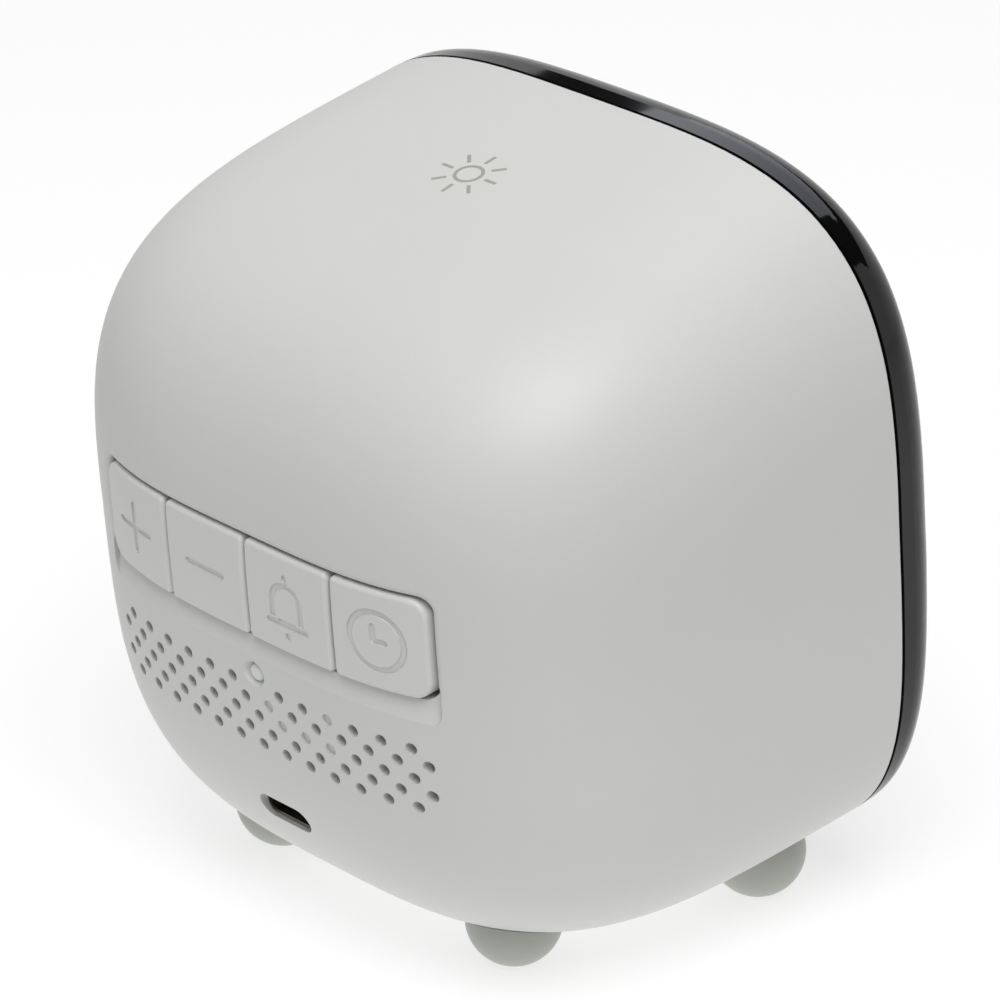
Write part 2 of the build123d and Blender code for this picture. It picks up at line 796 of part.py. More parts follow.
def make_key(name, x):
    """Key cap with a face that follows the shell, a trapped flange and a boss that meets its switch"""
    with BuildPart() as mark:
        with BuildSketch(back_plane(key_board_back)) as outline:
            mark_makers[name](max(min(x, end_face_x), -end_face_x))
        prism(outline, shell_depth)
        add(mark_floor_body.part, mode=Mode.SUBTRACT)
    with BuildPart() as key:
        with BuildSketch(back_plane(flange_front)) as cap:
            with Locations((0, key_row_height)):
                RectangleRounded(strip_width, key_height, key_corner_radius)
            with Locations((x, key_row_height)):
                RectangleRounded(key_width, key_height, key_gap_radius, mode=Mode.INTERSECT)
        prism(cap, shell_depth)
        add(key_face_body.part, mode=Mode.INTERSECT)
        face = key.faces().sort_by(depth_axis)[-1]
        fillet(face.edges(), key_edge_radius)
        block(flange_front, flange_thickness, key_width, key_height + 2 * flange_reach, x, key_row_height)
        rods(back_plane(boss_front), [(x, key_row_height)], key_boss_radius, key_boss_length)
        add(mark.part, mode=Mode.SUBTRACT)
    return key.part


def make_plunger(x):
    """Round plunger of one switch"""
    with BuildPart() as plunger:
        length = plunger_rise + plunger_root
        rods(back_plane(switch_back - plunger_root), [(x, key_row_height)], plunger_radius, length)
    return plunger.part


for key_name, key_x in zip(key_names, key_xs):
    finish(make_key(key_name, key_x), f"key_{key_name}")
    finish(make_plunger(key_x), f"plunger_{key_name}")

switch_places = [(x, key_row_height) for x in key_xs]

with BuildPart() as key_switches:
    with BuildSketch(back_plane(key_board_back)) as switch_bodies:
        with Locations(*switch_places):
            RectangleRounded(switch_size, switch_size, switch_corner)
    prism(switch_bodies, switch_height)
    bore_depth = plunger_root + key_travel + bore_spare
    bore_radius = plunger_radius + plunger_clearance
    rods(back_plane(switch_back), switch_places, bore_radius, -bore_depth, Mode.SUBTRACT)
finish(key_switches.part, "key_switches")

with BuildPart() as key_board:
    board_width = 2 * key_board_half_width
    low, high = key_board_bottom, key_board_top
    plate(key_board_front, board_thickness, board_width, low, high, key_board_corner, key_posts)
finish(key_board.part, "key_board")

with BuildPart() as key_board_screws:
    screws(front_plane(key_board_front), key_posts)
finish(key_board_screws.part, "key_board_screws")

with BuildPart() as indicator_led:
    block(key_board_back, led_rise, led_width, led_height, 0, indicator_height)
finish(indicator_led.part, "indicator_led")

with BuildPart() as light_pipe:
    pipe_front = key_board_back + led_rise + led_gap
    pipe_back = indicator_skin - pipe_mouth_depth + pipe_dome
    rods(back_plane(pipe_front), [(0, indicator_height)], pipe_radius, pipe_back - pipe_front)
    tip = light_pipe.faces().sort_by(depth_axis)[-1]
    fillet(tip.edges(), pipe_dome)
    pipe_flange_radius = pipe_boss_radius - pipe_flange_inset
    rods(back_plane(pipe_boss_front), [(0, indicator_height)], pipe_flange_radius, -pipe_flange)
finish(light_pipe.part, "light_pipe")

with BuildPart() as speaker_frame:
    inner_width = speaker_width - 2 * speaker_rim
    inner_height = speaker_height - 2 * speaker_rim
    cone_front = speaker_back + speaker_floor
    prism(oval(speaker_back, speaker_width, speaker_height, -speaker_drop), speaker_depth)
    prism(oval(cone_front, inner_width, inner_height, -speaker_drop), speaker_depth, Mode.SUBTRACT)
finish(speaker_frame.part, "speaker_frame")

with BuildPart() as speaker_cone:
    cone_width = inner_width - 2 * cone_clearance
    cone_height = inner_height - 2 * cone_clearance
    cone_back = speaker_front - cone_setback
    for shrink, lift, mode in ((0, 0, Mode.ADD), (2 * cone_thickness, cone_thickness, Mode.SUBTRACT)):
        throat_sizes = (cone_throat_width - shrink, cone_throat_height - shrink)
        throat = oval(cone_front + lift, *throat_sizes, -speaker_drop)
        mouth = oval(cone_back, cone_width - shrink, cone_height - shrink, -speaker_drop)
        loft(sections=[throat.sketch.face(), mouth.sketch.face()], mode=mode)
finish(speaker_cone.part, "speaker_cone")

with BuildPart() as speaker_gasket:
    opening = speaker_height - 2 * gasket_width
    prism(oval(speaker_front, speaker_width, speaker_height, -speaker_drop), shell_depth)
    gasket_hole = oval(speaker_front, speaker_width - 2 * gasket_width, opening, -speaker_drop)
    prism(gasket_hole, shell_depth, Mode.SUBTRACT)
    skin(wall + gasket_clearance, Mode.INTERSECT)
finish(speaker_gasket.part, "speaker_gasket")

with BuildPart() as speaker_magnet:
    block(magnet_back, magnet_depth, magnet_width, magnet_height, 0, -speaker_drop)
    fillet(speaker_magnet.edges().filter_by(depth_axis), magnet_corner)
finish(speaker_magnet.part, "speaker_magnet")

with BuildPart() as speaker_clamp:
    clamp_width = 2 * (clamp_post_x + board_edge)
    clamp_low = -speaker_drop - clamp_height / 2
    clamp_high = clamp_low + clamp_height
    plate(clamp_front, clamp_thickness, clamp_width, clamp_low, clamp_high, clamp_corner, clamp_posts)
finish(speaker_clamp.part, "speaker_clamp")

with BuildPart() as clamp_screws:
    screws(front_plane(clamp_front), clamp_posts)
finish(clamp_screws.part, "clamp_screws")

with BuildPart() as usb_socket:
    prism(oval(socket_back, socket_width, socket_height, inlet_height), socket_length)
    mouth_sizes = (socket_width - 2 * socket_wall, socket_height - 2 * socket_wall)
    prism(oval(socket_back + socket_wall, *mouth_sizes, inlet_height), socket_length, Mode.SUBTRACT)
finish(usb_socket.part, "usb_socket")

with BuildPart() as usb_tongue:
    block(socket_back + socket_wall, tongue_length, tongue_width, tongue_thickness, 0, inlet_height)
finish(usb_tongue.part, "usb_tongue")

with BuildPart() as usb_board:
    with BuildSketch(shelf_plane(inlet_board_underside)) as inlet_sheet:
        with Locations((0, (inlet_board_front + inlet_board_back) / 2)):
            Rectangle(inlet_board_width, inlet_board_length)
        with Locations(*inlet_posts):
            Circle(clear_hole, mode=Mode.SUBTRACT)
    prism(inlet_sheet, inlet_board_thickness)
finish(usb_board.part, "usb_board")

with BuildPart() as usb_board_screws:
    screws(shelf_plane(inlet_board_top), inlet_posts)
finish(usb_board_screws.part, "usb_board_screws")

with BuildPart() as touch_plate:
    rods(shelf_plane(touch_top), [(0, touch_depth)], touch_radius - touch_margin, -touch_thickness)
finish(touch_plate.part, "touch_plate")


def make_lead(routes, radius):
    """Round leads that follow straight runs joined by arcs"""
    with BuildPart() as lead:
        for route in routes:
            with BuildLine() as path:
                FilletPolyline(*[body_point(*place) for place in route], radius=lead_bend)
            with BuildSketch(Plane(origin=path.line @ 0, z_dir=path.line % 0)) as section:
                Circle(radius)
            sweep(section.sketch, path=path.line)
    return lead.part


def stepped_route(x, start_height, end_x, end_depth, end_height):
    """Route that leaves the main board square, steps across and arrives square"""
    run = (end_depth - main_board_back) / 3
    first = main_board_back + run
    second = first + run
    return [
        (x, main_board_back, start_height),
        (x, first, start_height),
        (end_x, second, end_height),
        (end_x, end_depth, end_height),
    ]


cable_end_height = key_row_height + cable_end_rise
speaker_lead_x = speaker_end_radius - speaker_width / 2
speaker_lead_end = -speaker_drop - clamp_height / 2 - speaker_lead_drop
inlet_lead_end = inlet_board_underside + inlet_board_thickness / 2
cable_route = stepped_route(*cable_start, cable_end_x, key_board_front, cable_end_height)
finish(make_lead([cable_route], cable_radius), "key_cable")
speaker_routes = []
inlet_routes = []
for lead_step in (0, -lead_spacing):
    speaker_x = speaker_lead_x + lead_step
    speaker_end = (speaker_x, speaker_back, speaker_lead_end)
    speaker_routes.append(stepped_route(speaker_x, speaker_lead_start, *speaker_end))
    inlet_x = lead_spacing / 2 + lead_step
    inlet_routes.append(stepped_route(inlet_x, inlet_lead_start, inlet_x, inlet_board_front, inlet_lead_end))
finish(make_lead(speaker_routes, lead_radius), "speaker_lead")
finish(make_lead(inlet_routes, lead_radius), "usb_lead")
touch_corner = (0, touch_depth, touch_lead_start)
touch_route = [(0, main_board_back, touch_lead_start), touch_corner, (0, touch_depth, touch_underside)]
finish(make_lead([touch_route], lead_radius), "touch_lead")

# Outside of the shell, where the feet seat
with BuildPart() as foot_seat:
    skin(-foot_seat_clearance)


def make_foot(x, y):
    """Ball foot, flat underneath, cut to the shell and held by a peg"""
    with BuildPart() as foot:
        with Locations((x, middle.Y + y, foot_centre_height)):
            Sphere(foot_radius)
        split(bisect_by=Plane.XY, keep=Keep.TOP)
        add(foot_seat.part, mode=Mode.SUBTRACT)
        peg_start = foot_centre_height - foot_radius / 2
        peg_plane = Plane(origin=(x, middle.Y + y, peg_start))
        rods(peg_plane, [(0, 0)], foot_peg_radius, peg_top(x, y) - peg_start)
    return foot.part


for foot_name, foot_place in foot_places.items():
    finish(make_foot(*foot_place), foot_name)
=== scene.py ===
"""Looks of a leaning bedside clock: grey moulded case, engraved keys, dark lens and lit numerals"""
import json
from math import cos, pi, radians, sin

import bmesh
import bpy
from bpy.props import FloatProperty, FloatVectorProperty, PointerProperty, StringProperty
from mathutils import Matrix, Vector
from mathutils.bvhtree import BVHTree


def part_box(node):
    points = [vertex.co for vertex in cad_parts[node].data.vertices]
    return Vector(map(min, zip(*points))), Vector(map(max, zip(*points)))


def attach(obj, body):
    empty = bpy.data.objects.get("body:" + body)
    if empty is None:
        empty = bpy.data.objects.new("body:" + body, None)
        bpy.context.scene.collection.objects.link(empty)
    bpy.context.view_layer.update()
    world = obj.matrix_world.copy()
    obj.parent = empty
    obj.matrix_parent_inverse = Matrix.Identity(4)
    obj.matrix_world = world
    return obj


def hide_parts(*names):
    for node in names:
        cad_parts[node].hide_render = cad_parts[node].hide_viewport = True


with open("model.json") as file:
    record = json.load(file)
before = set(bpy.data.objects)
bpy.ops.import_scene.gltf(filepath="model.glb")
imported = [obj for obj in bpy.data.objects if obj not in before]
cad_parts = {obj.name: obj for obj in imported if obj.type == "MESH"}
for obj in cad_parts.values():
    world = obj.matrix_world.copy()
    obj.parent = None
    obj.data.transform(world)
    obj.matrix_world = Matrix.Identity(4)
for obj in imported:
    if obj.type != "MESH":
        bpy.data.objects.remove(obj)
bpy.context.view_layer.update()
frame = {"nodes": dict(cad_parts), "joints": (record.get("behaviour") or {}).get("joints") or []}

bl_info = {
    "name": "Leaning bedside clock",
    "version": (1, 0, 0),
    "blender": (4, 5, 0),
    "location": "View3D > Sidebar > Clock",
    "description": "Dresses the clock's solids, adds its printed mark and numerals, and sets its stage",
    "category": "Object",
}

# The keys press square into the leaning case, so their axis gives the case's own directions
side_dir = Vector((1, 0, 0))
back_dir = -Vector(frame["joints"][0]["axis"]).normalized()
up_dir = side_dir.cross(back_dir)

# Bars of each numeral that are lit: a at the top, then clockwise to f, and g in the middle
SEGMENTS = {
    "0": "abcdef", "1": "bc", "2": "abged", "3": "abgcd", "4": "fgbc",
    "5": "afgcd", "6": "afgedc", "7": "abc", "8": "abcdefg", "9": "abcdfg",
}

# Faces that meet at less than this angle are shaded as one round face
ROUND_ANGLE = radians(32)

# Fineness of the colon dots, and of the sun mark's ring and rays
DOT_STEPS = 32
RING_STEPS = 96
RAYS = 8
RAY_STEPS = 6

# Height, in metres, from which the sun mark's points are dropped on the shell
DROP_HEIGHT = 0.05

# Points of the sun mark that lie closer than this, in metres, are joined
JOIN_WITHIN = 1e-7


def colour(name, about, default):
    """Colour that a user would change"""
    return FloatVectorProperty(
        name=name, description=about, default=default, size=3, min=0, max=1, subtype="COLOR",
    )


def length(name, about, default):
    """Length that a user would change"""
    return FloatProperty(
        name=name, description=about, default=default, min=0, unit="LENGTH", precision=5,
    )


def sheet_size(name, about, default):
    """Width and height that a user would change"""
    return FloatVectorProperty(
        name=name, description=about, default=default, size=2, min=0, unit="LENGTH",
    )


def share(name, about, default, top=1.0):
    """Plain number that a user would change"""
    return FloatProperty(name=name, description=about, default=default, min=0, max=top)


def angle(name, about, default):
    """Angle that a user would change, given in degrees"""
    return FloatProperty(name=name, description=about, default=radians(default), unit="ROTATION")


class CaseLooks(bpy.types.PropertyGroup):
    """Colours and grain of the moulded case, its keys, its feet and its indicator"""

    shell: colour("Shell", "Light grey of the moulded shell", (0.605, 0.606, 0.594))
    keys: colour("Keys", "Grey of the four keys", (0.63, 0.632, 0.616))
    feet: colour("Feet", "Darker satin grey of the ball feet", (0.37, 0.38, 0.345))
    pipe: colour("Indicator", "Milky lens of the indicator", (0.68, 0.71, 0.69))
    pipe_glow: share("Indicator glow", "Strength of the indicator's faint light", 0.02, 5)
    grain: length("Grain", "Distance across one grain of the moulding texture", 0.00018)
    grain_depth: length("Grain depth", "Depth of the moulding texture", 0.000006)
    soft_edge: length("Soft edge", "Radius that mould edges are softened to", 0.00018)
    roughness: share("Roughness", "Roughness of the moulded shell", 0.46)


class MarkLooks(bpy.types.PropertyGroup):
    """Sizes and colour of the printed sun mark"""

    ink: colour("Ink", "Warm grey ink of the sun mark", (0.335, 0.33, 0.285))
    ring_radius: length("Ring radius", "Outer radius of the sun's ring", 0.0019)
    ray_start: length("Ray start", "Distance from the middle to the start of a ray", 0.00262)
    ray_end: length("Ray end", "Distance from the middle to the end of a ray", 0.0044)
    stroke: length("Stroke", "Width of each printed stroke", 0.00046)
    film: length("Film", "Height of the ink above the shell, and its depth below", 0.00002)


class FrontLooks(bpy.types.PropertyGroup):
    """Sizes and colours of the front lens and its numerals"""

    lens: colour("Lens", "Body colour of the dark lens", (0.003, 0.003, 0.0032))
    lit: colour("Lit bars", "Light of the lit numeral bars", (0.80, 0.92, 1.0))
    unlit: colour("Unlit bars", "Colour of the bars that are off", (0.10, 0.10, 0.10))
    glow: share("Glow", "Strength of the lit numeral bars", 7.0, 50)
    smoke: share("Smoke", "How much of the light the display window holds back", 0.55)
    window_margin: length("Window margin", "Clear edge of the window round the numerals", 0.0024)
    digit_height: length("Digit height", "Height of a numeral", 0.021)
    digit_width: length("Digit width", "Width of a numeral", 0.0115)
    digit_pitch: length("Digit pitch", "Distance from one numeral to the next", 0.0155)
    bar_width: length("Bar width", "Width of one numeral bar", 0.0019)
    bar_gap: length("Bar gap", "Gap at each side of a numeral bar", 0.00025)
    bar_depth: length("Bar depth", "Depth of one numeral bar", 0.0012)
    colon_radius: length("Colon radius", "Radius of a colon dot", 0.0011)
    time_shown: StringProperty(
        name="Time shown", description="Hours and minutes on the display", default="1008",
    )


class StageLooks(bpy.types.PropertyGroup):
    """Camera, floor and lights of the picture"""

    azimuth: angle("Azimuth", "Turn of the camera round the clock, 0 in front", 225.734)
    elevation: angle("Elevation", "Height of the camera above the horizon", 25.256)
    distance: length("Distance", "Distance from the camera to its aim", 0.595118)
    aim: FloatVectorProperty(
        name="Aim", description="Point that the camera looks at", subtype="TRANSLATION", size=3,
        default=(-0.00392, -0.001185, 0.04997),
    )
    lens: FloatProperty(
        name="Lens", description="Focal length", default=180.95, min=1, unit="CAMERA",
    )
    floor_size: length("Floor size", "Width of the floor", 8.0)
    floor_drop: length("Floor drop", "Hair's breadth between the feet and the floor", 0.00005)
    floor: share("Floor", "Grey of the paper in the picture", 0.38)
    floor_lift: share("Floor lift", "White added to the paper in the picture", 0.66)
    table_near: share("Table near", "Light from the table under the clock", 1.12, 5)
    table_far: share("Table far", "Light from the table far from the clock", 0.36, 5)
    table_reach: length("Table reach", "Distance at which half of the fall is reached", 0.19)
    sky_low: share("Sky low", "Strength of the light from the horizon", 0.05, 5)
    sky_high: share("Sky high", "Strength of the light from overhead", 0.72, 5)
    key_power: share("Key power", "Power of the large soft light", 5.8, 100)
    key_size: length("Key size", "Width of the large soft light", 0.6)
    key_azimuth: angle("Key azimuth", "Turn of the large soft light, 0 in front", 232)
    key_elevation: angle("Key elevation", "Height of the large soft light", 61)
    key_distance: length("Key distance", "Distance of the large soft light", 0.9)


class GlossLooks(bpy.types.PropertyGroup):
    """Dark card and light strip, which only glossy surfaces show"""

    card: share("Card", "Grey of the dark card", 0.012)
    card_size: sheet_size("Card size", "Width and height of the dark card", (1.9, 1.27))
    card_azimuth: angle("Card azimuth", "Turn of the dark card, 0 in front", 6)
    card_elevation: angle("Card elevation", "Height of the dark card", 62)
    card_distance: length("Card distance", "Distance of the dark card", 1.1)
    strip: colour("Strip", "Light of the strip", (0.88, 0.90, 1.0))
    strip_glow: share("Strip glow", "Strength of the strip's light", 1.7, 50)
    strip_size: sheet_size("Strip size", "Width and height of the strip", (0.75, 0.27))
    strip_azimuth: angle("Strip azimuth", "Turn of the strip, 0 in front", 20)
    strip_elevation: angle("Strip elevation", "Height of the strip", 46)
    strip_distance: length("Strip distance", "Distance of the strip", 0.8)
    strip_roll: angle("Strip roll", "Tilt of the strip in its own plane", -30)


class Value:
    """Socket in a material's maths: an expression on values adds its own nodes"""

    def __init__(self, finish, socket):
        self.finish = finish
        self.socket = socket

    def __add__(self, other):
        return self.finish.math("ADD", self, other)

    def __sub__(self, other):
        return self.finish.math("SUBTRACT", self, other)

    def __rsub__(self, other):
        return self.finish.math("SUBTRACT", other, self)

    def __mul__(self, other):
        return self.finish.math("MULTIPLY", self, other)

    def __abs__(self):
        return self.finish.math("ABSOLUTE", self)

    __radd__ = __add__
    __rmul__ = __mul__


class Finish:
    """Node material, built from values"""

    def __init__(self, tree):
        self.tree = tree
        self.tree.nodes.clear()

    def feed(self, socket, given):
        """Link a value to a socket, or set the socket to a number, colour or vector"""
        if isinstance(given, Value):
            self.tree.links.new(given.socket, socket)
        elif socket.type == "RGBA":
            socket.default_value = (*given, 1)
        else:
            socket.default_value = given

    def node(self, kind, settings, inputs, output=0):
        """Add a node: its settings first, then the values or links of its sockets"""
        made = self.tree.nodes.new(kind)
        for key, setting in settings.items():
            setattr(made, key, setting)
        for key, given in inputs.items():
            self.feed(next(s for s in made.inputs if key in (s.identifier, s.name)), given)
        if not made.outputs:
            return None
        if output == 0:
            return Value(self, made.outputs[0])
        return Value(self, next(s for s in made.outputs if output in (s.identifier, s.name)))

    def math(self, operation, *values):
        """Math node on values and numbers"""
        made = self.node("ShaderNodeMath", {"operation": operation}, {})
        for socket, given in zip(made.socket.node.inputs, values):
            self.feed(socket, given)
        return made

    def place(self, kind="Object"):
        """Place on the piece, in its own frame"""
        return self.node("ShaderNodeTexCoord", {}, {}, kind)

    def along(self, direction, kind="Object"):
        """Distance of the place along a direction"""
        inputs = {"Vector": self.place(kind), "Vector_001": direction}
        return self.node("ShaderNodeVectorMath", {"operation": "DOT_PRODUCT"}, inputs, "Value")

    def noise(self, grain, detail=2.0, roughness=0.5):
        """Cloudy pattern from 0 to 1 with grains of one size"""
        inputs = {
            "Vector": self.place(), "Scale": 1 / grain, "Detail": detail, "Roughness": roughness,
        }
        return self.node("ShaderNodeTexNoise", {}, inputs, "Fac")

    def blend(self, factor, first, second):
        """Colour between two colours"""
        inputs = {"Factor_Float": factor, "A_Color": first, "B_Color": second}
        return self.node("ShaderNodeMix", {"data_type": "RGBA"}, inputs, "Result_Color")

    def step(self, value, edge, softness):
        """0 below the edge, 1 above it"""
        settings = {"interpolation_type": "SMOOTHSTEP"}
        inputs = {"Value": value, "From Min": edge - softness, "From Max": edge + softness}
        return self.node("ShaderNodeMapRange", settings, inputs, "Result")

    def stripes(self, value, pitch, edge, softness):
        """1 on stripes: a value that runs to and fro over the pitch, where it is past the edge"""
        return self.step(abs(self.math("PINGPONG", value, pitch)), edge, softness)

    def bump(self, height, depth, edge=0.0):
        """Surface direction roughened by a height from 0 to 1, with edges softened by a radius"""
        inputs = {"Height": height, "Distance": depth}
        if edge:
            inputs["Normal"] = self.node("ShaderNodeBevel", {"samples": 6}, {"Radius": edge})
        return self.node("ShaderNodeBump", {}, inputs)

    def surface(self, **inputs):
        """Principled surface to the material's output; a key's underscores stand for spaces"""
        named = {key.replace("_", " "): given for key, given in inputs.items()}
        shader = self.node("ShaderNodeBsdfPrincipled", {}, named)
        self.node("ShaderNodeOutputMaterial", {}, {"Surface": shader})


def new_finish(name):
    """Fresh material and its builder"""
    material = bpy.data.materials.new(name)
    material.use_nodes = True
    return material, Finish(material.node_tree)


def shaded(tone, by):
    """Colour made lighter or darker"""
    return tuple(min(channel * by, 1) for channel in tone)


def moulded(name, tone, looks, roughness, grain_share=1.0):
    """Moulded plastic with a fine eroded grain, slight clouding and softened edges"""
    material, finish = new_finish(name)
    grain_size = looks.grain * grain_share
    pit_size = grain_size * 3.1
    cloud_size = 0.018
    grain = finish.noise(grain_size, detail=1.5)
    pits = finish.noise(pit_size)
    clouds = finish.noise(cloud_size, detail=3.0, roughness=0.6)
    mottle = clouds * 0.6 + pits * 0.4
    height = grain * 0.65 + pits * 0.35
    finish.surface(
        Base_Color=finish.blend(mottle, shaded(tone, 0.975), shaded(tone, 1.025)),
        Roughness=roughness + (grain - 0.5) * 0.14 + (clouds - 0.5) * 0.05,
        Normal=finish.bump(height, looks.grain_depth, looks.soft_edge),
        IOR=1.47,
    )
    return material


def plain_plastic(name, tone, roughness):
    """Moulded inner plastic with flow marks"""
    material, finish = new_finish(name)
    flow = finish.noise(grain=0.012)
    pits = finish.noise(grain=0.0003)
    finish.surface(
        Base_Color=finish.blend(flow, shaded(tone, 0.85), shaded(tone, 1.15)),
        Roughness=roughness + (pits - 0.5) * 0.2,
        Normal=finish.bump(pits, depth=0.000008, edge=0.0001),
    )
    return material


def plated_metal(name, tone, roughness):
    """Plated metal with fine drawn lines and dull patches"""
    material, finish = new_finish(name)
    lines = finish.noise(grain=0.00012, detail=4.0, roughness=0.7)
    patches = finish.noise(grain=0.004, detail=3.0)
    finish.surface(
        Base_Color=finish.blend(patches, shaded(tone, 0.82), tone),
        Roughness=roughness + (lines - 0.5) * 0.18 + (patches - 0.5) * 0.1,
        Normal=finish.bump(lines, depth=0.000003),
        Metallic=1.0,
    )
    return material


def printed_board(name):
    """Circuit board: green mask over copper runs, with a faint weave"""
    material, finish = new_finish(name)
    wander, softness = 0.004, 0.00006
    across = finish.along(side_dir) + finish.noise(grain=0.006) * wander
    rise = finish.along(up_dir) + finish.noise(grain=0.009) * wander
    runs = finish.stripes(across, pitch=0.0009, edge=0.0005, softness=softness)
    cross_runs = finish.stripes(rise, pitch=0.0016, edge=0.0013, softness=softness)
    copper = finish.math("MAXIMUM", runs * 0.8, cross_runs)
    weave = finish.noise(grain=0.0004)
    mask_dark, mask_light = (0.010, 0.075, 0.030), (0.045, 0.20, 0.075)
    finish.surface(
        Base_Color=finish.blend(copper * 0.7 + weave * 0.1, mask_dark, mask_light),
        Roughness=0.28 + (weave - 0.5) * 0.12,
        Normal=finish.bump(copper, depth=0.00003),
        Coat_Weight=0.3,
    )
    return material


def foam(name, tone):
    """Open foam or fibre"""
    material, finish = new_finish(name)
    cells = finish.noise(grain=0.0005, detail=3.0, roughness=0.7)
    finish.surface(
        Base_Color=finish.blend(cells, shaded(tone, 0.5), shaded(tone, 1.6)),
        Roughness=0.85 + (cells - 0.5) * 0.2,
        Normal=finish.bump(cells, depth=0.0002),
    )
    return material


def lens_gloss(looks):
    """Polished black, with a smoked window in front of the numerals"""
    material, finish = new_finish("lens_gloss")
    low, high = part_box("digit_segments")
    half_width = (high.x - low.x) / 2 + looks.window_margin
    half_height = looks.digit_height / 2 + looks.window_margin
    softness = 0.0004
    rise = finish.along(up_dir) - middle_of("digit_segments").dot(up_dir)
    beside = finish.step(abs(finish.along(side_dir)), half_width, softness)
    above = finish.step(abs(rise), half_height, softness)
    border = finish.math("MAXIMUM", beside, above)
    haze = finish.noise(grain=0.02, detail=4.0, roughness=0.65)
    waves = finish.noise(grain=0.03, detail=1.0)
    finish.surface(
        Base_Color=finish.blend(haze, shaded(looks.lens, 0.8), shaded(looks.lens, 1.3)),
        Roughness=0.045 + haze * 0.03,
        Normal=finish.bump(waves, depth=0.00002),
        Alpha=looks.smoke + border * (1 - looks.smoke),
        IOR=1.5,
        Specular_IOR_Level=0.29,
    )
    return material


def bar_light(looks):
    """Glow of the lit numeral bars"""
    material, finish = new_finish("bar_lit")
    core = finish.noise(grain=0.003, detail=1.0)
    finish.surface(
        Base_Color=(0.8, 0.8, 0.8),
        Emission_Color=finish.blend(core, shaded(looks.lit, 0.88), looks.lit),
        Emission_Strength=looks.glow,
        Roughness=0.4,
    )
    return material


def sun_ink(looks):
    """Printed ink with a fine speckle"""
    material, finish = new_finish("sun_ink")
    speckle = finish.noise(grain=0.00025, detail=3.0)
    finish.surface(
        Base_Color=finish.blend(speckle, shaded(looks.ink, 0.92), shaded(looks.ink, 1.08)),
        Roughness=0.5 + (speckle - 0.5) * 0.1,
        Normal=finish.bump(speckle, depth=0.000003),
    )
    return material


def indicator_milk(looks):
    """Milky plastic with a faint green light"""
    material, finish = new_finish("indicator_milk")
    milk = finish.noise(grain=0.0012, detail=3.0)
    deep_green, pale_green = (0.55, 0.95, 0.66), (0.75, 1.0, 0.82)
    finish.surface(
        Base_Color=finish.blend(milk, shaded(looks.pipe, 0.93), looks.pipe),
        Roughness=0.16 + (milk - 0.5) * 0.08,
        Normal=finish.bump(milk, depth=0.00001),
        Emission_Color=finish.blend(milk, deep_green, pale_green),
        Emission_Strength=looks.pipe_glow,
    )
    return material


def solids_named(start):
    """Names of the solids that start with a word"""
    return [name for name in frame["nodes"] if name.startswith(start)]


def key_caps():
    """Names of the keys' caps, each of which has a plunger of its own"""
    keys = solids_named("key_")
    return [name for name in keys if name.replace("key_", "plunger_") in frame["nodes"]]


def middle_of(name):
    """Middle of a solid's box"""
    low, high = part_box(name)
    return (low + high) / 2


def dress(material, *names):
    """Give solids a finish and smooth their round faces"""
    for name in names:
        node = frame["nodes"][name]
        node.data.materials.clear()
        node.data.materials.append(material)
        node.data.shade_smooth()
        node.data.set_sharp_from_angle(angle=ROUND_ANGLE)


def add_object(name, data):
    """New object of the scene"""
    made = bpy.data.objects.new(name, data)
    bpy.context.scene.collection.objects.link(made)
    return made


def mesh_data(name, mesh, material):
    """Finished mesh of one material"""
    made = bpy.data.meshes.new(name)
    mesh.normal_update()
    mesh.to_mesh(made)
    mesh.free()
    made.materials.append(material)
    return made


def add_piece(name, mesh, material, body):
    """New piece that rides on a body"""
    piece = add_object(name, mesh_data(name, mesh, material))
    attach(piece, body)
    return piece


def add_sheet(name, size, material):
    """Flat sheet of the stage, which isn't part of the clock"""
    mesh = bmesh.new()
    bmesh.ops.create_grid(mesh, x_segments=1, y_segments=1, size=0.5)
    bmesh.ops.scale(mesh, vec=(*size, 1), verts=mesh.verts)
    sheet = add_object(name, mesh_data(name, mesh, material))
    return sheet


def bar_places(looks):
    """Middle of each bar from its numeral's middle, and whether it stands upright"""
    half = (looks.digit_width - looks.bar_width) / 2
    level = (looks.digit_height - looks.bar_width) / 2
    return {
        "a": (0, level, False),
        "b": (half, level / 2, True),
        "c": (half, -level / 2, True),
        "d": (0, -level, False),
        "e": (-half, -level / 2, True),
        "f": (-half, level / 2, True),
        "g": (0, 0, False),
    }


def bar_outline(looks, upright):
    """Six corners of a bar with pointed ends"""
    half = looks.bar_width / 2 - looks.bar_gap
    level = (looks.digit_height - looks.bar_width) / 2
    reach = level if upright else looks.digit_width - looks.bar_width
    tip = reach / 2 - looks.bar_gap
    shoulder = tip - half
    points = [
        (-tip, 0), (-shoulder, -half), (shoulder, -half),
        (tip, 0), (shoulder, half), (-shoulder, half),
    ]
    return [(-v, u) for u, v in points] if upright else points


def add_bar(mesh, looks, outline, place):
    """Stand one bar on the display's front: its place is side offset, height and depth"""
    x, rise, depth = place
    corners = [side_dir * (x + u) + up_dir * (rise + v) for u, v in outline]
    foot = back_dir * (depth + looks.bar_depth)
    face = mesh.faces.new([mesh.verts.new(corner + foot) for corner in corners])
    pushed = bmesh.ops.extrude_face_region(mesh, geom=[face])["geom"]
    moved = [vert for vert in pushed if isinstance(vert, bmesh.types.BMVert)]
    bmesh.ops.translate(mesh, verts=moved, vec=-back_dir * looks.bar_depth)
    bmesh.ops.recalc_face_normals(mesh, faces=mesh.faces)


